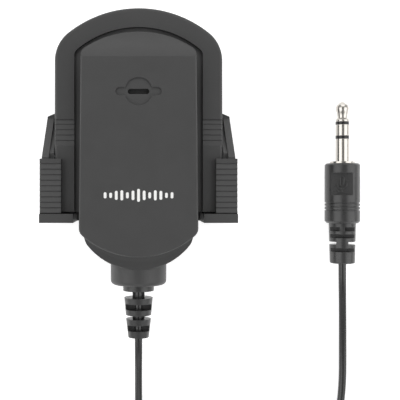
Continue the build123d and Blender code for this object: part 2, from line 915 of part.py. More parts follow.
with BuildPart() as plug_ring:
    add(
        turned(
            [
                (tube_r + 0.02, ring_front_y),
                (jack_r, ring_front_y),
                (jack_r, ring_back_y),
                (tube_r + 0.02, ring_back_y),
            ]
        )
    )

with BuildPart() as plug_sleeve:
    add(
        turned(
            [
                (tube_r + 0.02, sleeve_front_y),
                (jack_r, sleeve_front_y),
                (jack_r, sleeve_end_y),
                (flange_r, sleeve_end_y),
                (flange_r, grip_end_y),
                (barrel_r, grip_end_y),
                (barrel_r, barrel_end_y),
                (tube_r + 0.02, barrel_end_y),
            ]
        )
    )

plug_boot_top_r = 3.45
plug_boot_low_r = 3.2
# Slots across the boot: distance from the body, width, depth and the half width of spine left
plug_boot_slots = [
    (1.5, 1.0, 2.0, 0.6),
    (3.3, 0.95, 2.0, 0.0),
    (5.2, 0.8, plug_boot_top_r, 1.5),
    (6.9, 0.95, 2.0, 0.0),
]
grip_rings = 3
grip_ring_start = 10.3
grip_ring_pitch = 0.88
panel_half = 2.72
panel_depth = 0.85
panel_top_y = grip_end_y - 2.5
panel_length = 5.7
panel_y = panel_top_y - panel_length / 2
panel_z = plug_z + grip_body_r - panel_depth
symbol_line = 0.26
symbol_height = 0.4

with BuildPart() as plug_grip:
    add(
        turned(
            [
                (0, grip_end_y),
                (grip_body_r - 0.4, grip_end_y),
                (grip_body_r, grip_end_y - 0.4),
                (grip_body_r, body_end_y + 0.5),
                (grip_body_r - 0.5, body_end_y),
                (plug_boot_top_r, body_end_y),
                (plug_boot_low_r, plug_end_y + 0.2),
                (plug_boot_low_r - 0.2, plug_end_y),
                (0, plug_end_y),
            ]
        )
    )
    with BuildSketch(plug_plane):
        for ring in range(grip_rings):
            with Locations((grip_body_r, grip_end_y - grip_ring_start - grip_ring_pitch * ring)):
                Rectangle(0.5, 0.35)
    revolve(axis=plug_axis, mode=Mode.SUBTRACT)
    # Slots beside the boot's spine, at the front and at the back
    for slot_y, slot_w, depth, spine in plug_boot_slots:
        for facing in (1, -1):
            for side in (1, -1):
                with Locations(
                    (
                        plug_x + side * (spine + plug_boot_top_r / 2),
                        body_end_y - slot_y,
                        plug_z + facing * (1.5 * plug_boot_top_r - depth),
                    )
                ):
                    Box(plug_boot_top_r, slot_w, plug_boot_top_r, mode=Mode.SUBTRACT)
    # Recessed panel with a raised outline of a microphone
    with Locations((plug_x, panel_y, panel_z + 1)):
        Box(2 * panel_half, panel_length, 2, mode=Mode.SUBTRACT)
    with BuildSketch(Plane.XY.offset(panel_z)):
        with Locations((plug_x, panel_y + 0.2)):
            SlotOverall(3.2, 2.5, rotation=90)
            SlotOverall(3.2 - 2 * symbol_line, 2.5 - 2 * symbol_line, rotation=90, mode=Mode.SUBTRACT)
        with Locations((plug_x, panel_y + 1.3)):
            Rectangle(2.5, 2.0, mode=Mode.SUBTRACT)
        with Locations((plug_x, panel_y + 0.75)):
            SlotOverall(2.7, 1.1, rotation=90)
            SlotOverall(2.7 - 2 * symbol_line, 1.1 - 2 * symbol_line, rotation=90, mode=Mode.SUBTRACT)
        with Locations((plug_x, panel_y - 1.75)):
            Rectangle(symbol_line, 0.8)
        with Locations((plug_x, panel_y - 2.1)):
            Rectangle(1.9, symbol_line)
    extrude(amount=symbol_height)
    # Room for the jack's barrel
    with BuildSketch(Plane.XZ.offset(-grip_end_y)):
        with Locations((plug_x, plug_z)):
            Circle(barrel_r)
    extrude(amount=grip_end_y - barrel_end_y, mode=Mode.SUBTRACT)

plug_grip.part = plug_grip.part.rotate(plug_axis, -plug_turn)

# ---------------------------------------------------------------- cord and its stored coil

coil_outer_r = coil_inner_r + (coil_columns - 1) * cable_d
coil_base_z = tie_t
first_layer_z = coil_base_z + cable_r
last_layer_z = first_layer_z + (coil_layers - 1) * cable_d
coil_turns = coil_columns * coil_layers - 0.5

# From the strain relief down to the table and round to the coil
mic_route = [
    (0, relief_end_y, boss_z),
    (0, relief_end_y - 4.6, boss_z),
    (0, relief_end_y - 10.4, boss_z - 3.2),
    (0, relief_end_y - 16.6, 2.0),
    (0.1, relief_end_y - 23.6, 1.0),
    (1.2, relief_end_y - 31.6, 1.1),
    (4.6, relief_end_y - 39.4, 1.4),
    (coil_x - coil_outer_r, relief_end_y - 44.2, first_layer_z),
    (coil_x - coil_outer_r, coil_y, first_layer_z),
]
# From the coil's last turn down to the table and up to the plug
plug_route = [
    (coil_x + coil_outer_r, coil_y, last_layer_z),
    (coil_x + coil_outer_r + 0.2, coil_y + 6.4, last_layer_z),
    (coil_x + coil_outer_r + 2.6, coil_y + 13.0, last_layer_z - 1.6),
    (coil_x + coil_outer_r + 6.9, coil_y + 19.4, 3.0),
    (plug_x + 0.1, coil_y + 26.4, 1.1),
    (plug_x + 1.05, coil_y + 34.8, 1.0),
    (plug_x + 1.0, coil_y + 44.6, 1.2),
    (plug_x + 0.6, coil_y + 54.0, 2.6),
    (plug_x, plug_end_y - 5.6, plug_z),
    (plug_x, plug_end_y, plug_z),
]


def cord_radii(route):
    """The largest arc that each corner's two runs allow."""
    radii = []
    for before, here, after in zip(route, route[1:], route[2:]):
        run_in = Vector(*here) - Vector(*before)
        run_out = Vector(*after) - Vector(*here)
        turn = math.radians(run_in.get_angle(run_out))
        radii.append(0.45 * min(run_in.length, run_out.length) / math.tan(turn / 2))
    return radii


cord_length = 0
for cord_name, route in (("cable_from_head", mic_route), ("cable_to_plug", plug_route)):
    radii = cord_radii(route)
    with BuildPart() as cord:
        with BuildLine():
            path = FilletPolyline(*route, radius=radii)
        with BuildSketch(path ^ 0):
            Circle(cable_r)
        sweep()
    cord.part.label = cord_name
    export_step(cord.part, "parts/" + cord_name + ".step")
    cord_length += path.length
    print(cord_name, "radii", [round(radius, 1) for radius in radii])
    print("  length", round(path.length, 2))
    print("  volume over section times length", cord.part.volume / (math.pi * cable_r**2 * path.length))

coil_length = coil_turns * math.pi * (coil_inner_r + coil_outer_r)
print("coil length", round(coil_length, 1), "whole cord", round(cord_length + coil_length, 1))

with BuildPart() as cable_coil:
    with BuildSketch(Plane.XY.offset(coil_base_z)):
        with Locations((coil_x, coil_y)):
            Circle(coil_outer_r + cable_r)
            Circle(coil_inner_r - cable_r, mode=Mode.SUBTRACT)
    extrude(amount=coil_layers * cable_d)
    fillet(cable_coil.edges().filter_by(GeomType.CIRCLE), 0.9)

tie_slack = 1.2
bundle_w = coil_columns * cable_d
bundle_h = coil_layers * cable_d
tie_x = coil_x
tie_y = coil_y - (coil_inner_r + coil_outer_r) / 2

with BuildPart() as cable_tie:
    with BuildSketch(Plane.YZ.offset(tie_x - tie_w / 2)):
        with Locations((tie_y, coil_base_z + bundle_h / 2)):
            RectangleRounded(bundle_w + tie_slack + 2 * tie_t, bundle_h + 2 * tie_t, 0.8 + tie_t)
            RectangleRounded(bundle_w + tie_slack, bundle_h, 0.8, mode=Mode.SUBTRACT)
    extrude(amount=tie_w)

# ---------------------------------------------------------------- labels and files

finished = {
    "front_cover": front_cover,
    "rear_case": rear_case,
    "sound_felt": sound_felt,
    "capsule_boot": capsule_boot,
    "capsule_can": capsule_can,
    "capsule_diaphragm": capsule_diaphragm,
    "capsule_backplate": capsule_backplate,
    "capsule_board": capsule_board,
    "cable_tail": cable_tail,
    "cable_crimp": cable_crimp,
    "strain_relief": strain_relief,
    "clip_plate": clip_plate,
    "rear_lever": rear_lever,
    "hinge_pins": hinge_pins,
    "clip_spring": clip_spring,
    "case_screws": case_screws,
    "plate_screws": plate_screws,
    "plug_tip": plug_tip,
    "plug_insulator": plug_insulator,
    "plug_ring": plug_ring,
    "plug_sleeve": plug_sleeve,
    "plug_grip": plug_grip,
    "cable_coil": cable_coil,
    "cable_tie": cable_tie,
}
for name, piece in finished.items():
    piece.part.label = name
    export_step(piece.part, "parts/" + name + ".step")
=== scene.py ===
import math

import bmesh
import bpy
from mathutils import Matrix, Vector


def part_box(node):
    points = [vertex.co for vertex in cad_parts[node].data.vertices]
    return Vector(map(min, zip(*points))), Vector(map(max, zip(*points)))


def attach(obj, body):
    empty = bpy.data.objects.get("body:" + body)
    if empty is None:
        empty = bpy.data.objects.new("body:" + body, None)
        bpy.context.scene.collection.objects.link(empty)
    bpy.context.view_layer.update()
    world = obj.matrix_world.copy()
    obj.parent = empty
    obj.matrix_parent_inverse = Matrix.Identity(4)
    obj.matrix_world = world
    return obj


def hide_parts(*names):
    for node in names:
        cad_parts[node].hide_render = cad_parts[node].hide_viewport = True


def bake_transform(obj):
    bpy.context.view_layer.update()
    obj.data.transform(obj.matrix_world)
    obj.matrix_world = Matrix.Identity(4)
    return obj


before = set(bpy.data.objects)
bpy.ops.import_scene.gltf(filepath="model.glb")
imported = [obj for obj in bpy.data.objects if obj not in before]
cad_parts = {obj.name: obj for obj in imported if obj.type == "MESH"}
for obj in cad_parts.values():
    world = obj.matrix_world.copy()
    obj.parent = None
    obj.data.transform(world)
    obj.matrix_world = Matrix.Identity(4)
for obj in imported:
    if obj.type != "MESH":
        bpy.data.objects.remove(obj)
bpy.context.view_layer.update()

bl_info = {
    "name": "Clip-on Microphone Finishes",
    "version": (1, 0, 0),
    "blender": (4, 5, 0),
    "location": "View3D > Sidebar > Microphone",
    "description": "Lays the cord and finishes every piece of a clip-on microphone",
    "category": "Object",
}

MM = 0.001


# ---------------------------------------------------------------- sizes and colours


def linear(hex_colour):
    """An sRGB hex value as linear red, green and blue."""
    channels = [int(hex_colour[i : i + 2], 16) / 255 for i in (0, 2, 4)]
    return [c / 12.92 if c <= 0.04045 else ((c + 0.055) / 1.055) ** 2.4 for c in channels]


def length_property(name, description, millimetres):
    return bpy.props.FloatProperty(
        name=name, description=description, default=millimetres * MM, unit="LENGTH", precision=5
    )


def colour_property(name, description, hex_colour):
    return bpy.props.FloatVectorProperty(
        name=name, description=description, default=linear(hex_colour), subtype="COLOR", size=3
    )


class MicrophoneSizes(bpy.types.PropertyGroup):
    cable_diameter: length_property("Cable diameter", "Outside diameter of the cable", 2.0)
    cord_length: length_property("Cord length", "Cable from strain relief to plug", 1800.6)
    mark_width: length_property("Mark width", "Width of the printed level mark", 17.4)
    mark_height: length_property("Mark height", "Height of the mark's tallest bar", 3.1)
    ink_thickness: length_property("Ink thickness", "Build of the printed ink", 0.03)
    spring_wire: length_property("Spring wire", "Diameter of the clip spring's wire", 0.6)
    strap_thickness: length_property("Strap thickness", "Thickness of the strap round the coil", 0.6)
    camera_height: length_property("Camera height", "Height of the camera above the table", 200.0)


class MicrophoneColours(bpy.types.PropertyGroup):
    housing: colour_property("Housing", "Moulded shells of the head", "3A3A3A")
    clip: colour_property("Clip", "Moulded clip plate and lever", "3A3A3A")
    relief: colour_property("Strain relief", "Soft moulding where the cable leaves", "323232")
    cable: colour_property("Cable", "Jacket of the cable", "242424")
    plug_grip: colour_property("Plug grip", "Overmoulded grip of the plug", "323232")
    plating: colour_property("Plating", "Nickel of the plug's contacts", "C0BCB6")
    ink: colour_property("Ink", "Pad printing on the cover", "F4F4F2")
    strap: colour_property("Strap", "Woven strap round the coil", "2A2A2C")


def sizes():
    return bpy.context.scene.microphone_sizes


def colours():
    return bpy.context.scene.microphone_colours


# ---------------------------------------------------------------- materials


# The Mix node's sockets share their names, so they are told apart by number
COLOUR_A, COLOUR_B, MIXED_COLOUR = 6, 7, 2
VECTOR_A, VECTOR_B, MIXED_VECTOR = 4, 5, 1


def feed(tree, node, inputs):
    """Sets a node's sockets, by name or number, to values or to other nodes' outputs."""
    for socket, value in inputs.items():
        if isinstance(value, bpy.types.NodeSocket):
            tree.links.new(value, node.inputs[socket])
        else:
            node.inputs[socket].default_value = value


def add(tree, kind, inputs=None, **settings):
    """Adds one node with its settings and its links."""
    node = tree.nodes.new(kind)
    for name, value in settings.items():
        setattr(node, name, value)
    feed(tree, node, inputs or {})
    return node


def new_material(name):
    """An empty material with its node tree, its shader and the object's own coordinates."""
    material = bpy.data.materials.new(name)
    material.use_nodes = True
    tree = material.node_tree
    shader = next(node for node in tree.nodes if node.type == "BSDF_PRINCIPLED")
    place = add(tree, "ShaderNodeTexCoord").outputs["Object"]
    return material, tree, shader, place


def per(millimetres):
    """The texture scale whose features are that many millimetres across."""
    return 1 / (millimetres * MM)


def bands_per(millimetres):
    """The Wave texture's scale whose bands are that many millimetres apart."""
    radians_per_unit = 20
    return per(millimetres) * 2 * math.pi / radians_per_unit


def opaque(colour, share=1.0):
    """A colour, dimmed to a share of itself, with its alpha."""
    return [channel * share for channel in colour] + [1.0]


def worn_and_highlit_edge(tree, radius_mm, falloff):
    """A mask of the edges, and the normal rounded over them: the wear that handling leaves, and on the
    plastics also a painted highlight along the edges.

    The mask is full where the rounded normal leans so far that its cosine is the falloff.
    """
    rounded = add(tree, "ShaderNodeBevel", {"Radius": radius_mm * MM}, samples=6)
    surface = add(tree, "ShaderNodeNewGeometry")
    flatness = add(
        tree,
        "ShaderNodeVectorMath",
        {0: rounded.outputs["Normal"], 1: surface.outputs["Normal"]},
        operation="DOT_PRODUCT",
    )
    mask = add(
        tree,
        "ShaderNodeMapRange",
        {"Value": flatness.outputs["Value"], "From Min": 1.0, "From Max": falloff},
    )
    return mask.outputs["Result"], rounded.outputs["Normal"]


def moulded(name, colour, grain_mm, grain_depth_mm, roughness, wear_and_highlight):
    """A moulded plastic skin: tool grain, a drifting shade, patches rubbed by use, and paler edges that
    are partly wear and partly a painted highlight.

    Real tool grain is under 0.1 mm across, too fine to show, so each of these skins draws it
    two to four times as coarse. The last argument is how much paler an edge is than the rest: partly wear,
    partly a painted highlight along the edge.
    """
    material, tree, shader, place = new_material(name)
    grain = add(
        tree,
        "ShaderNodeTexNoise",
        {"Vector": place, "Scale": per(grain_mm), "Detail": 3.0, "Roughness": 0.55},
    )
    drift_mm = 9.0
    drift = add(tree, "ShaderNodeTexNoise", {"Vector": place, "Scale": per(drift_mm), "Detail": 2.0})
    patch_mm = 2.2
    handling = add(
        tree,
        "ShaderNodeTexNoise",
        {"Vector": place, "Scale": per(patch_mm), "Detail": 5.0, "Roughness": 0.7, "Distortion": 0.4},
    )
    edge, rounded = worn_and_highlit_edge(tree, radius_mm=0.16, falloff=0.9)
    broken_edge = add(
        tree, "ShaderNodeMath", {0: edge, 1: handling.outputs["Fac"]}, operation="MULTIPLY"
    )
    drifting = add(
        tree,
        "ShaderNodeMix",
        {"Factor": drift.outputs["Fac"], COLOUR_A: opaque(colour, 0.9), COLOUR_B: opaque(colour, 1.1)},
        data_type="RGBA",
    )
    # Edges paler than the rest: partly wear, and partly a painted highlight along the edges
    paled = add(
        tree,
        "ShaderNodeMix",
        {
            "Factor": broken_edge.outputs["Value"],
            COLOUR_A: drifting.outputs[MIXED_COLOUR],
            COLOUR_B: opaque(colour, 1.0 + wear_and_highlight),
        },
        data_type="RGBA",
    )
    rubbed_by = 0.05
    sheen_of_use = add(
        tree,
        "ShaderNodeMapRange",
        {
            "Value": handling.outputs["Fac"],
            "From Min": 0.3,
            "From Max": 0.7,
            "To Min": roughness - rubbed_by,
            "To Max": roughness + rubbed_by,
        },
    )
    relief = add(
        tree,
        "ShaderNodeBump",
        {
            "Height": grain.outputs["Fac"],
            "Distance": grain_depth_mm * MM,
            "Strength": 1.0,
            "Normal": rounded,
        },
    )
    feed(
        tree,
        shader,
        {
            "Base Color": paled.outputs[MIXED_COLOUR],
            "Roughness": sheen_of_use.outputs["Result"],
            "Normal": relief.outputs["Normal"],
            "IOR": 1.5,
        },
    )
    return material


def housing_abs():
    """ABS, injection moulded in a spark-eroded tool: an even satin near-black with a fine grain."""
    return moulded(
        "abs_spark_eroded_satin",
        colours().housing,
        grain_mm=0.26,
        grain_depth_mm=0.008,
        roughness=0.47,
        wear_and_highlight=0.5,
    )


def clip_abs():
    """The same ABS from a coarser tool, as on a clip that is handled: a little duller."""
    return moulded(
        "abs_spark_eroded_coarse",
        colours().clip,
        grain_mm=0.32,
        grain_depth_mm=0.010,
        roughness=0.5,
        wear_and_highlight=0.6,
    )


def relief_pvc():
    """Flexible PVC, overmoulded: soft grain and a faint oily gloss."""
    return moulded(
        "soft_pvc_overmoulded",
        colours().relief,
        grain_mm=0.3,
        grain_depth_mm=0.006,
        roughness=0.32,
        wear_and_highlight=0.3,
    )


def grip_pvc():
    """Semi-rigid PVC, overmoulded round the plug: smoother and glossier than the shells."""
    return moulded(
        "plug_pvc_overmoulded",
        colours().plug_grip,
        grain_mm=0.3,
        grain_depth_mm=0.006,
        roughness=0.3,
        wear_and_highlight=0.4,
    )


def jacket_pvc():
    """PVC, extruded: a smooth skin with slow waves where the die pulled it, under a little dust.

    Real dust is under 0.1 mm across, too fine to show, so it is drawn at 0.3 mm.
    """
    material, tree, shader, place = new_material("cable_pvc_extruded")
    wave_mm = 1.4
    waves = add(tree, "ShaderNodeTexNoise", {"Vector": place, "Scale": per(wave_mm), "Detail": 1.0})
    dust_mm = 0.3
    dust = add(
        tree,
        "ShaderNodeTexNoise",
        {"Vector": place, "Scale": per(dust_mm), "Detail": 4.0, "Roughness": 0.7},
    )
    shade = add(
        tree,
        "ShaderNodeMix",
        {
            "Factor": dust.outputs["Fac"],
            COLOUR_A: opaque(colours().cable, 0.88),
            COLOUR_B: opaque(colours().cable, 1.12),
        },
        data_type="RGBA",
    )
    gloss = add(
        tree,
        "ShaderNodeMapRange",
        {"Value": dust.outputs["Fac"], "To Min": 0.2, "To Max": 0.32},
    )
    relief = add(
        tree, "ShaderNodeBump", {"Height": waves.outputs["Fac"], "Distance": 0.02 * MM, "Strength": 0.6}
    )
    feed(
        tree,
        shader,
        {
            "Base Color": shade.outputs[MIXED_COLOUR],
            "Roughness": gloss.outputs["Result"],
            "Normal": relief.outputs["Normal"],
            "IOR": 1.53,
        },
    )
    return material


def cable_end():
    """The cord's own material, for the stretch of it that is inside the case."""
    return bpy.data.materials["cable_pvc_extruded"]


def worked_metal(name, colour, roughness, line_mm, line_depth_mm, across):
    """A turned, drawn or lapped metal: fine lines across an axis, with spots and rubbed edges.

    Real lines are under 0.1 mm apart, too fine to show, so they are drawn at 0.12 to 0.4 mm.
    """
    material, tree, shader, place = new_material(name)
    lines = add(
        tree,
        "ShaderNodeTexWave",
        {
            "Vector": place,
            "Scale": bands_per(line_mm),
            "Distortion": 0.6,
            "Detail": 2.0,
            "Detail Scale": 3.0,
        },
        wave_type="BANDS",
        bands_direction=across,
    )
    spot_mm = 0.7
    spots = add(
        tree,
        "ShaderNodeTexNoise",
        {"Vector": place, "Scale": per(spot_mm), "Detail": 6.0, "Roughness": 0.65},
    )
    edge, rounded = worn_and_highlit_edge(tree, radius_mm=0.08, falloff=0.85)
    tint = add(
        tree,
        "ShaderNodeMix",
        {"Factor": spots.outputs["Fac"], COLOUR_A: opaque(colour, 0.86), COLOUR_B: opaque(colour, 1.08)},
        data_type="RGBA",
    )
    rubbed = add(
        tree,
        "ShaderNodeMix",
        {"Factor": edge, COLOUR_A: tint.outputs[MIXED_COLOUR], COLOUR_B: opaque(colour, 1.15)},
        data_type="RGBA",
    )
    haze = add(
        tree,
        "ShaderNodeMapRange",
        {
            "Value": spots.outputs["Fac"],
            "From Min": 0.25,
            "From Max": 0.75,
            "To Min": roughness * 0.8,
            "To Max": roughness * 1.25,
        },
    )
    relief = add(
        tree,
        "ShaderNodeBump",
        {
            "Height": lines.outputs["Fac"],
            "Distance": line_depth_mm * MM,
            "Strength": 0.5,
            "Normal": rounded,
        },
    )
    feed(
        tree,
        shader,
        {
            "Base Color": rubbed.outputs[MIXED_COLOUR],
            "Metallic": 1.0,
            "Roughness": haze.outputs["Result"],
            "Normal": relief.outputs["Normal"],
        },
    )
    return material


def contact_nickel():
    """Brass, turned and nickel plated: bright and warm, with faint turning rings."""
    return worked_metal(
        "nickel_plated_brass",
        colours().plating,
        roughness=0.2,
        line_mm=0.4,
        line_depth_mm=0.001,
        across="Y",
    )


def screw_steel():
    """Carbon steel, cold headed and zinc plated: a cool satin grey."""
    return worked_metal(
        "steel_zinc_plated",
        linear("B9BCC0"),
        roughness=0.3,
        line_mm=0.2,
        line_depth_mm=0.002,
        across="Z",
    )


def pin_steel():
    """Carbon steel, drawn bright: a clear cold grey with faint rings round the pin."""
    return worked_metal(
        "steel_bright_drawn",
        linear("AEB0B4"),
        roughness=0.24,
        line_mm=0.2,
        line_depth_mm=0.002,
        across="X",
    )


def spring_wire_steel():
    """Music wire, oil tempered: a dark straw-brown sheen over the steel."""
    return worked_metal(
        "music_wire_tempered",
        linear("8F8A83"),
        roughness=0.28,
        line_mm=0.12,
        line_depth_mm=0.001,
        across="Z",
    )


def can_aluminium():
    """Aluminium, deep drawn: a soft pale grey with faint rings round the wall."""
    return worked_metal(
        "aluminium_deep_drawn",
        linear("C6C8CB"),
        roughness=0.3,
        line_mm=0.2,
        line_depth_mm=0.002,
        across="Z",
    )


def plate_brass():
    """Brass, punched and lapped: a clean yellow with fine straight lines from the lapping."""
    return worked_metal(
        "brass_lapped",
        linear("D8B36A"),
        roughness=0.25,
        line_mm=0.3,
        line_depth_mm=0.001,
        across="X",
    )


def insulator_nylon():
    """Nylon, moulded between the contacts: glossy black."""
    return moulded(
        "nylon_moulded_gloss",
        linear("161616"),
        grain_mm=0.2,
        grain_depth_mm=0.002,
        roughness=0.25,
        wear_and_highlight=0.3,
    )


def boot_rubber():
    """EPDM rubber, compression moulded: deep matt black with a dusty bloom."""
    return moulded(
        "epdm_compression_moulded",
        linear("1E1E1E"),
        grain_mm=0.18,
        grain_depth_mm=0.006,
        roughness=0.75,
        wear_and_highlight=0.4,
    )


def wire_insulation(name, hex_colour):
    """PVC insulation, extruded over a thin wire, in one bright colour."""
    return moulded(
        name,
        linear(hex_colour),
        grain_mm=0.4,
        grain_depth_mm=0.003,
        roughness=0.4,
        wear_and_highlight=0.1,
    )


def port_felt():
    """Polyester felt, needled: matt tangled fibres over a soft loft.

    Real fibres are about 0.02 mm across, too fine to show, so they are drawn at 0.12 mm.
    """
    material, tree, shader, place = new_material("felt_needled")
    tangle_mm = 0.8
    tangle = add(tree, "ShaderNodeTexNoise", {"Vector": place, "Scale": per(tangle_mm), "Detail": 3.0})
    lie = add(
        tree,
        "ShaderNodeMix",
        {"Factor": 0.002, VECTOR_A: place, VECTOR_B: tangle.outputs["Color"]},
        data_type="VECTOR",
    )
    fibre_mm = 0.12
    fibres = add(
        tree,
        "ShaderNodeTexVoronoi",
        {"Vector": lie.outputs[MIXED_VECTOR], "Scale": per(fibre_mm)},
        feature="DISTANCE_TO_EDGE",
    )
    shade = add(
        tree,
        "ShaderNodeMix",
        {
            "Factor": fibres.outputs["Distance"],
            COLOUR_A: opaque(linear("262626")),
            COLOUR_B: opaque(linear("0E0E0E")),
        },
        data_type="RGBA",
    )
    relief = add(
        tree,
        "ShaderNodeBump",
        {"Height": fibres.outputs["Distance"], "Distance": 0.08 * MM, "Strength": 0.9},
        invert=True,
    )
    feed(
        tree,
        shader,
        {
            "Base Color": shade.outputs[MIXED_COLOUR],
            "Roughness": 0.95,
            "Sheen Weight": 0.3,
            "Normal": relief.outputs["Normal"],
        },
    )
    return material


def diaphragm_film():
    """Polyester film, metallised: a mirror with slow ripples where it is stretched over its ring."""
    material, tree, shader, place = new_material("polyester_film_metallised")
    ripple_mm = 1.6
    ripples = add(tree, "ShaderNodeTexNoise", {"Vector": place, "Scale": per(ripple_mm), "Detail": 1.0})
    shade = add(
        tree,
        "ShaderNodeMix",
        {
            "Factor": ripples.outputs["Fac"],
            COLOUR_A: opaque(linear("B5B1A6")),
            COLOUR_B: opaque(linear("D9D6CD")),
        },
        data_type="RGBA",
    )
    relief = add(
        tree, "ShaderNodeBump", {"Height": ripples.outputs["Fac"], "Distance": 0.03 * MM, "Strength": 0.4}
    )
    feed(
        tree,
        shader,
        {
            "Base Color": shade.outputs[MIXED_COLOUR],
            "Metallic": 1.0,
            "Roughness": 0.12,
            "Normal": relief.outputs["Normal"],
        },
    )
    return material


def board_laminate():
    """Glass and epoxy laminate under green solder mask: a weave of 0.5 mm threads shows through."""
    material, tree, shader, place = new_material("glass_epoxy_solder_mask")
    thread_mm = 0.5
    weave = add(
        tree,
        "ShaderNodeTexChecker",
        {
            "Vector": place,
            "Scale": per(thread_mm),
            "Color1": opaque(linear("1F6B3A")),
            "Color2": opaque(linear("237543")),
        },
    )
    pool_mm = 1.2
    pooling = add(tree, "ShaderNodeTexNoise", {"Vector": place, "Scale": per(pool_mm), "Detail": 2.0})
    relief = add(
        tree, "ShaderNodeBump", {"Height": pooling.outputs["Fac"], "Distance": 0.02 * MM, "Strength": 0.5}
    )
    feed(
        tree,
        shader,
        {
            "Base Color": weave.outputs["Color"],
            "Roughness": 0.3,
            "Coat Weight": 0.4,
            "Normal": relief.outputs["Normal"],
        },
    )
    return material


def pad_ink():
    """Two-part pad-printing ink: opaque white, a little thinner here and there from the pad's lift."""
    material, tree, shader, place = new_material("pad_printing_ink")
    thin_spot_mm = 0.35
    cover = add(
        tree,
        "ShaderNodeTexNoise",
        {"Vector": place, "Scale": per(thin_spot_mm), "Detail": 4.0, "Roughness": 0.7},
    )
    shade = add(
        tree,
        "ShaderNodeMix",
        {
            "Factor": cover.outputs["Fac"],
            COLOUR_A: opaque(colours().ink, 0.86),
            COLOUR_B: opaque(colours().ink),
        },
        data_type="RGBA",
    )
    relief = add(
        tree, "ShaderNodeBump", {"Height": cover.outputs["Fac"], "Distance": 0.006 * MM, "Strength": 0.6}
    )
    feed(
        tree,
        shader,
        {
            "Base Color": shade.outputs[MIXED_COLOUR],
            "Roughness": 0.5,
            "Normal": relief.outputs["Normal"],
        },
    )
    return material


def strap_nylon():
    """Nylon tape, woven and napped: ribs across the strap under a short fuzz.

    Real ribs are about 0.4 mm apart, too fine to show, so they are drawn twice as coarse.
    """
    material, tree, shader, place = new_material("nylon_tape_woven")
    rib_mm = 0.8
    ribs = add(
        tree,
        "ShaderNodeTexWave",
        {
            "Vector": place,
            "Scale": bands_per(rib_mm),
            "Distortion": 1.2,
            "Detail": 3.0,
            "Detail Scale": 4.0,
        },
        wave_type="BANDS",
        bands_direction="X",
    )
    fuzz_mm = 0.15
    fuzz = add(
        tree,
        "ShaderNodeTexNoise",
        {"Vector": place, "Scale": per(fuzz_mm), "Detail": 5.0, "Roughness": 0.8},
    )
    height = add(
        tree, "ShaderNodeMath", {0: ribs.outputs["Fac"], 1: fuzz.outputs["Fac"]}, operation="ADD"
    )
    shade = add(
        tree,
        "ShaderNodeMix",
        {
            "Factor": fuzz.outputs["Fac"],
            COLOUR_A: opaque(colours().strap, 0.7),
            COLOUR_B: opaque(colours().strap, 1.6),
        },
        data_type="RGBA",
    )
    relief = add(
        tree, "ShaderNodeBump", {"Height": height.outputs["Value"], "Distance": 0.08 * MM, "Strength": 0.8}
    )
    feed(
        tree,
        shader,
        {
            "Base Color": shade.outputs[MIXED_COLOUR],
            "Roughness": 0.9,
            "Sheen Weight": 0.35,
            "Normal": relief.outputs["Normal"],
        },
    )
    return material


def table_card():
    """White card, lit through from behind: it shows next to no shadow."""
    material, tree, shader, place = new_material("card_white")
    tooth_mm = 4.0
    tooth = add(tree, "ShaderNodeTexNoise", {"Vector": place, "Scale": per(tooth_mm), "Detail": 3.0})
    relief = add(
        tree, "ShaderNodeBump", {"Height": tooth.outputs["Fac"], "Distance": 0.01 * MM, "Strength": 0.2}
    )
    feed(
        tree,
        shader,
        {
            "Base Color": opaque(linear("F2F2F2")),
            "Roughness": 0.9,
            "Specular IOR Level": 0.1,
            "Emission Color": opaque(linear("FFFFFF")),
            "Emission Strength": 0.6,
            "Normal": relief.outputs["Normal"],
        },
    )
    return material


# ---------------------------------------------------------------- modelling by hand


def deselect():
    """Leaves object mode with nothing selected, so that an operator acts on its own piece alone."""
    if bpy.context.object and bpy.context.object.mode != "OBJECT":
        bpy.ops.object.mode_set(mode="OBJECT")
    bpy.ops.object.select_all(action="DESELECT")


def select_only(piece):
    deselect()
    piece.select_set(True)
    bpy.context.view_layer.objects.active = piece


def settle(piece, name, material):
    """Names a finished piece, puts its place into its mesh and gives it its material."""
    select_only(piece)
    bpy.ops.object.transform_apply(location=True, rotation=True, scale=True)
    piece.name = name
    piece.data.name = name
    piece.data.materials.clear()
    piece.data.materials.append(material)
    return piece


def pick(piece, kind, wanted):
    """In edit mode, selects only the vertices, edges or faces that the test wants."""
    bpy.ops.mesh.select_mode(type=kind)
    bpy.ops.mesh.select_all(action="DESELECT")
    mesh = bmesh.from_edit_mesh(piece.data)
    chosen = {"VERT": mesh.verts, "EDGE": mesh.edges, "FACE": mesh.faces}[kind]
    for element in chosen:
        if wanted(element):
            element.select_set(True)
    bmesh.update_edit_mesh(piece.data)


def runs_along(edge, axis):
    """Whether an edge lies along an axis, x, y or z."""
    nearly_parallel = 0.9
    way = (edge.verts[0].co - edge.verts[1].co).normalized()
    return abs(getattr(way, axis)) > nearly_parallel


def apply_modifier(piece, kind, **settings):
    """Adds one modifier with its settings and applies it."""
    select_only(piece)
    modifier = piece.modifiers.new(kind.title(), kind)
    for name, value in settings.items():
        setattr(modifier, name, value)
    bpy.ops.object.modifier_apply(modifier=modifier.name)


def finish_nodes(material, *names):
    """Gives CAD nodes, whose shapes are right as they are, a material of their own."""
    for name in names:
        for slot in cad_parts[name].material_slots:
            slot.material = material


# ---------------------------------------------------------------- the stage

floor_radius = 1.6
floor_sides = 96
lit_point = Vector((0, 0, 0.01))
# Each light's place, its size along its own x and y, and its power in watts
softboxes = {
    "softbox_left": ((-1.1, -0.1, 1.05), (0.8, 1.6), 7.2),
    "softbox_right": ((1.1, -0.1, 1.05), (0.8, 1.6), 7.2),
    "softbox_top": ((0, 1.0, 1.1), (1.6, 0.8), 6.5),
    "softbox_bottom": ((0, -1.1, 0.8), (1.6, 0.8), 2.5),
}
# How strongly the walls light the object, and the flag overhead, by the height of the direction
walls_light, flag_light = 0.56, 0.24
flag_begins, flag_full = 0.78, 0.92
# How bright the walls are to the camera
backdrop_seen = 1.0
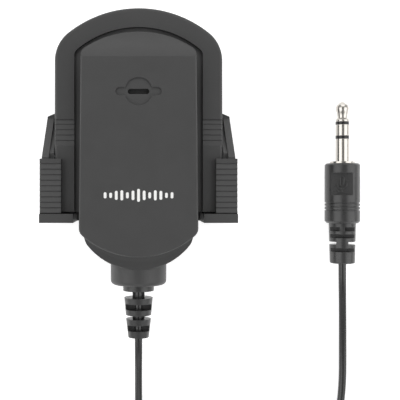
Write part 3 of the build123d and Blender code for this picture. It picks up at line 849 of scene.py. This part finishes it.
# The lens and the sensor are in millimetres, and the shifts are shares of the sensor's width
camera_y = -3.2 * MM
camera_lens = 67.5
camera_sensor = 36
camera_shift_x, camera_shift_y = 0.1536, -0.0325
camera_clip_start = 1 * MM


def softbox(name, place, size, watts):
    """A soft rectangular light that faces the microphone and isn't seen itself."""
    bpy.ops.object.light_add(type="AREA", location=place)
    light = bpy.context.object
    light.name = name
    light.data.shape = "RECTANGLE"
    light.data.size, light.data.size_y = size
    light.data.energy = watts
    light.visible_camera = False
    light.rotation_euler = (lit_point - Vector(place)).to_track_quat("-Z", "Y").to_euler()


def studio(context):
    """White walls all round that light the object, dimmer overhead where a black flag hangs."""
    world = bpy.data.worlds.new("studio") if context.scene.world is None else context.scene.world
    context.scene.world = world
    world.use_nodes = True
    tree = world.node_tree
    backdrop = next(node for node in tree.nodes if node.type == "BACKGROUND")
    towards = add(tree, "ShaderNodeTexCoord").outputs["Generated"]
    split = add(tree, "ShaderNodeSeparateXYZ", {"Vector": towards})
    flagged = add(
        tree,
        "ShaderNodeMapRange",
        {
            "Value": split.outputs["Z"],
            "From Min": flag_begins,
            "From Max": flag_full,
            "To Min": walls_light,
            "To Max": flag_light,
        },
        interpolation_type="SMOOTHSTEP",
    )
    seen = add(tree, "ShaderNodeLightPath")
    shown = add(
        tree,
        "ShaderNodeMapRange",
        {
            "Value": seen.outputs["Is Camera Ray"],
            "To Min": flagged.outputs["Result"],
            "To Max": backdrop_seen,
        },
    )
    feed(tree, backdrop, {"Color": opaque(linear("FFFFFF")), "Strength": shown.outputs["Result"]})


class MIC_OT_stage(bpy.types.Operator):
    """Lay the pale floor, hang the soft lights and set the camera over the microphone"""

    bl_idname = "microphone.stage"
    bl_label = "Stage"

    def execute(self, context):
        deselect()
        bpy.ops.mesh.primitive_circle_add(
            vertices=floor_sides, radius=floor_radius, fill_type="NGON", location=(0, 0, 0)
        )
        floor = settle(context.object, "floor", table_card())
        for name, (place, size, watts) in softboxes.items():
            softbox(name, place, size, watts)
        studio(context)
        bpy.ops.object.camera_add(location=(0, camera_y, sizes().camera_height), rotation=(0, 0, 0))
        camera = context.object
        camera.name = "camera"
        camera.data.lens = camera_lens
        camera.data.sensor_width = camera_sensor
        camera.data.shift_x = camera_shift_x
        camera.data.shift_y = camera_shift_y
        camera.data.clip_start = camera_clip_start
        context.scene.camera = camera
        context.scene.view_settings.view_transform = "Standard"
        return {"FINISHED"}


# ---------------------------------------------------------------- the cord

# The routes are in metres. Down from the strain relief to the table and round to the coil
mic_route = [
    (0.0, -0.0415, 0.0082),
    (0.0, -0.0461, 0.0082),
    (0.0, -0.0519, 0.005),
    (0.0, -0.0581, 0.002),
    (0.0001, -0.0651, 0.001),
    (0.0012, -0.0731, 0.0011),
    (0.0046, -0.0809, 0.0014),
    (0.0073, -0.0857, 0.0016),
    (0.0073, -0.09, 0.0016),
]
# From the coil's last turn down to the table and up to the plug
plug_route = [
    (0.0427, -0.09, 0.0076),
    (0.0429, -0.0836, 0.0076),
    (0.0453, -0.077, 0.006),
    (0.0496, -0.0706, 0.003),
    (0.0532, -0.0636, 0.0011),
    (0.05415, -0.0552, 0.001),
    (0.0541, -0.0454, 0.0012),
    (0.0537, -0.036, 0.0026),
    (0.0531, -0.0286, 0.0045),
    (0.0531, -0.023, 0.0045),
]
coil_columns = 5
coil_layers = 4
# The cable leaves the coil on the other side from where it comes in
last_half_turn = 0.5
points_per_turn = 16
# The share of a turn after which the cable steps over to the next one
steps_over_at = 0.75


def coil_route(diameter):
    """The coil's turns, wound column by column and layer by layer, each stepping over to the next."""
    low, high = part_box("cable_coil")
    centre = (low + high) / 2
    outer_r = (high.x - low.x) / 2 - diameter / 2
    turns = coil_columns * coil_layers - last_half_turn
    cells = []
    for layer in range(coil_layers):
        columns = range(coil_columns) if layer % 2 == 0 else reversed(range(coil_columns))
        cells += [(outer_r - column * diameter, low.z + diameter * (layer + 0.5)) for column in columns]
    cells.append(cells[-1])
    # The curve runs inside its points, so they stand a little further out
    outside_curve = 1 / math.cos(math.pi / points_per_turn)
    points = []
    for step in range(1, int(turns * points_per_turn)):
        turn, along = divmod(step / points_per_turn, 1)
        radius, z = cells[int(turn)]
        next_radius, next_z = cells[int(turn) + 1]
        share = max(0.0, (along - steps_over_at) / (1 - steps_over_at))
        radius += (next_radius - radius) * share
        z += (next_z - z) * share
        angle = math.pi + 2 * math.pi * step / points_per_turn
        reach = radius * outside_curve
        points.append((centre.x + reach * math.cos(angle), centre.y + reach * math.sin(angle), z))
    return points


class MIC_OT_cord(bpy.types.Operator):
    """Lay the cable from the strain relief, through its stored coil, to the plug"""

    bl_idname = "microphone.cord"
    bl_label = "Cord"

    def execute(self, context):
        deselect()
        diameter = sizes().cable_diameter
        points = mic_route + coil_route(diameter) + plug_route
        curve = bpy.data.curves.new("cord", "CURVE")
        curve.dimensions = "3D"
        spline = curve.splines.new("NURBS")
        spline.points.add(len(points) - 1)
        for point, place in zip(spline.points, points):
            point.co = (*place, 1)
        spline.order_u = 3  # a quadratic curve, which follows its points closely
        spline.use_endpoint_u = True
        spline.resolution_u = 5
        curve.bevel_depth = diameter / 2
        curve.bevel_resolution = 6
        curve.use_fill_caps = True
        curve.materials.append(jacket_pvc())
        cord = bpy.data.objects.new("cord", curve)
        context.collection.objects.link(cord)
        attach(cord, "head")
        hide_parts("cable_from_head", "cable_coil", "cable_to_plug")
        return {"FINISHED"}


class MIC_OT_strap(bpy.types.Operator):
    """Model the woven strap that holds the coil together"""

    bl_idname = "microphone.strap"
    bl_label = "Strap"

    def execute(self, context):
        deselect()
        low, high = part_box("cable_tie")
        corner_r = 1.4 * MM
        edge_r = 0.12 * MM
        bpy.ops.mesh.primitive_cube_add(size=1, location=(low + high) / 2, scale=high - low)
        strap = context.object
        bpy.ops.object.transform_apply(location=True, rotation=False, scale=True)
        bpy.ops.object.mode_set(mode="EDIT")
        # The strap is open towards x, where the turns pass through it
        pick(strap, "FACE", lambda face: abs(round(face.normal.x)) == 1)
        bpy.ops.mesh.delete(type="ONLY_FACE")
        pick(strap, "EDGE", lambda edge: runs_along(edge, "x"))
        bpy.ops.mesh.bevel(offset=corner_r, segments=8)
        bpy.ops.object.mode_set(mode="OBJECT")
        apply_modifier(
            strap, "SOLIDIFY", thickness=sizes().strap_thickness, offset=-1, use_even_offset=True
        )
        apply_modifier(strap, "BEVEL", width=edge_r, segments=2, limit_method="ANGLE")
        settle(strap, "coil_strap", strap_nylon())
        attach(strap, "head")
        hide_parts("cable_tie")
        return {"FINISHED"}


# ---------------------------------------------------------------- the spring and the printed mark


class MIC_OT_spring(bpy.types.Operator):
    """Wind the clip's spring between the lever's floor and the clip plate, with closed ends"""

    bl_idname = "microphone.spring"
    bl_label = "Clip spring"

    def execute(self, context):
        low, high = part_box("clip_spring")
        wire = sizes().spring_wire
        centre = (low + high) / 2
        wire_r = wire / 2
        coil_r = (high.x - low.x) / 2 - wire_r
        # A closed turn rises a little less than the wire, so that it rests on the one below
        closed_pitch = wire * 0.98
        free_turns = 3
        pitch = (high.z - low.z - wire - 2 * closed_pitch) / free_turns
        sections = [(1, closed_pitch), (free_turns, pitch), (1, closed_pitch)]
        steps_per_turn = 32
        step_angle = 2 * math.pi / steps_per_turn
        wire_sides = 12
        crease_angle = math.radians(50)
        deselect()
        bpy.ops.mesh.primitive_circle_add(
            vertices=wire_sides,
            radius=wire_r,
            fill_type="NGON",
            location=(centre.x + coil_r, centre.y, low.z + wire_r),
            rotation=(math.pi / 2, 0, 0),
        )
        spring = context.object
        bpy.ops.object.transform_apply(location=True, rotation=True, scale=True)
        bpy.ops.object.mode_set(mode="EDIT")
        bpy.ops.mesh.select_all(action="SELECT")
        for turns, rise in sections:
            for _ in range(steps_per_turn * turns):
                bpy.ops.mesh.extrude_region_move(
                    TRANSFORM_OT_translate={"value": (0, 0, rise / steps_per_turn)}
                )
                bpy.ops.transform.rotate(
                    value=step_angle, orient_axis="Z", center_override=(centre.x, centre.y, 0)
                )
        bpy.ops.mesh.select_all(action="SELECT")
        bpy.ops.mesh.normals_make_consistent(inside=False)
        bpy.ops.object.mode_set(mode="OBJECT")
        bpy.ops.object.shade_smooth_by_angle(angle=crease_angle)
        settle(spring, "spring", spring_wire_steel())
        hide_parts("clip_spring")
        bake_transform(spring)
        return {"FINISHED"}


class MIC_OT_mark(bpy.types.Operator):
    """Print a row of rounded sound-level bars on the cover"""

    bl_idname = "microphone.mark"
    bl_label = "Printed mark"

    def execute(self, context):
        low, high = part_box("front_cover")
        ink = sizes().ink_thickness
        above_lower_edge = 14.9 * MM
        bars = 13
        pitch = sizes().mark_width / bars
        width = pitch / 2
        # Just under half the width, so that each end keeps a narrow flat
        round_end = width * 0.49
        # The shortest bar's share of the tallest, and how fast the bars beat and die away
        shortest = 0.35
        beat = 0.9
        fade = 5.5
        made = []
        for bar in range(bars):
            from_middle = bar - (bars - 1) / 2
            swell = abs(math.cos(from_middle * beat)) * math.exp(-((from_middle / fade) ** 2))
            height = sizes().mark_height * (shortest + (1 - shortest) * swell)
            deselect()
            bpy.ops.mesh.primitive_cube_add(
                size=1,
                location=(from_middle * pitch, low.y + above_lower_edge, high.z + ink / 2),
                scale=(width, height, ink),
            )
            piece = context.object
            bpy.ops.object.transform_apply(location=True, rotation=False, scale=True)
            bpy.ops.object.mode_set(mode="EDIT")
            pick(piece, "EDGE", lambda edge: runs_along(edge, "z"))
            bpy.ops.mesh.bevel(offset=round_end, segments=6)
            bpy.ops.object.mode_set(mode="OBJECT")
            made.append(piece)
        deselect()
        for piece in made:
            piece.select_set(True)
        context.view_layer.objects.active = made[0]
        bpy.ops.object.join()
        mark = settle(context.object, "level_mark", pad_ink())
        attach(mark, "head")
        return {"FINISHED"}


# ---------------------------------------------------------------- finishes of the CAD pieces


class MIC_OT_housing(bpy.types.Operator):
    """Finish the moulded shells of the head"""

    bl_idname = "microphone.housing"
    bl_label = "Housing"

    def execute(self, context):
        finish_nodes(housing_abs(), "front_cover", "rear_case")
        return {"FINISHED"}


class MIC_OT_clip(bpy.types.Operator):
    """Finish the clip plate, the lever and the pins it turns on"""

    bl_idname = "microphone.clip"
    bl_label = "Clip"

    def execute(self, context):
        finish_nodes(clip_abs(), "clip_plate", "rear_lever")
        finish_nodes(pin_steel(), "hinge_pins")
        return {"FINISHED"}


class MIC_OT_screws(bpy.types.Operator):
    """Finish the screws of the case and of the clip plate"""

    bl_idname = "microphone.screws"
    bl_label = "Screws"

    def execute(self, context):
        finish_nodes(screw_steel(), "case_screws", "plate_screws")
        return {"FINISHED"}


class MIC_OT_capsule(bpy.types.Operator):
    """Finish the capsule, its boot, its felt and the wiring behind it"""

    bl_idname = "microphone.capsule"
    bl_label = "Capsule and wiring"

    def execute(self, context):
        finish_nodes(port_felt(), "sound_felt")
        finish_nodes(boot_rubber(), "capsule_boot")
        finish_nodes(can_aluminium(), "capsule_can")
        finish_nodes(diaphragm_film(), "capsule_diaphragm")
        finish_nodes(plate_brass(), "capsule_backplate")
        finish_nodes(board_laminate(), "capsule_board")
        finish_nodes(wire_insulation("pvc_extruded_red", "B3261E"), "signal_lead")
        finish_nodes(wire_insulation("pvc_extruded_white", "DAD8D2"), "ground_lead")
        return {"FINISHED"}


class MIC_OT_relief(bpy.types.Operator):
    """Finish the strain relief and the end of the cable inside the case"""

    bl_idname = "microphone.relief"
    bl_label = "Strain relief"

    def execute(self, context):
        finish_nodes(relief_pvc(), "strain_relief")
        finish_nodes(cable_end(), "cable_tail")
        finish_nodes(can_aluminium(), "cable_crimp")
        return {"FINISHED"}


class MIC_OT_plug(bpy.types.Operator):
    """Finish the plug's contacts, insulators and grip"""

    bl_idname = "microphone.plug"
    bl_label = "Plug"

    def execute(self, context):
        finish_nodes(contact_nickel(), "plug_tip", "plug_ring", "plug_sleeve")
        finish_nodes(insulator_nylon(), "plug_insulator")
        finish_nodes(grip_pvc(), "plug_grip")
        return {"FINISHED"}


steps = (
    MIC_OT_stage,
    MIC_OT_strap,
    MIC_OT_cord,
    MIC_OT_spring,
    MIC_OT_mark,
    MIC_OT_housing,
    MIC_OT_clip,
    MIC_OT_screws,
    MIC_OT_capsule,
    MIC_OT_relief,
    MIC_OT_plug,
)


class MIC_PT_panel(bpy.types.Panel):
    """Every step of the microphone's finishing, in order"""

    bl_idname = "MIC_PT_panel"
    bl_label = "Microphone"
    bl_space_type = "VIEW_3D"
    bl_region_type = "UI"
    bl_category = "Microphone"

    def draw(self, context):
        column = self.layout.column()
        for group in (context.scene.microphone_sizes, context.scene.microphone_colours):
            for name in group.__annotations__:
                column.prop(group, name)
        for step in steps:
            column.operator(step.bl_idname)


classes = (MicrophoneSizes, MicrophoneColours, *steps, MIC_PT_panel)


def register():
    for member in classes:
        bpy.utils.register_class(member)
    bpy.types.Scene.microphone_sizes = bpy.props.PointerProperty(type=MicrophoneSizes)
    bpy.types.Scene.microphone_colours = bpy.props.PointerProperty(type=MicrophoneColours)


def unregister():
    del bpy.types.Scene.microphone_colours
    del bpy.types.Scene.microphone_sizes
    for member in reversed(classes):
        bpy.utils.unregister_class(member)


def main():
    """Registers the add-on and makes every piece in order."""
    register()
    bpy.ops.microphone.stage()
    bpy.ops.microphone.strap()
    bpy.ops.microphone.cord()
    bpy.ops.microphone.spring()
    bpy.ops.microphone.mark()
    bpy.ops.microphone.housing()
    bpy.ops.microphone.clip()
    bpy.ops.microphone.screws()
    bpy.ops.microphone.capsule()
    bpy.ops.microphone.relief()
    bpy.ops.microphone.plug()


if __name__ == "__main__":
    main()
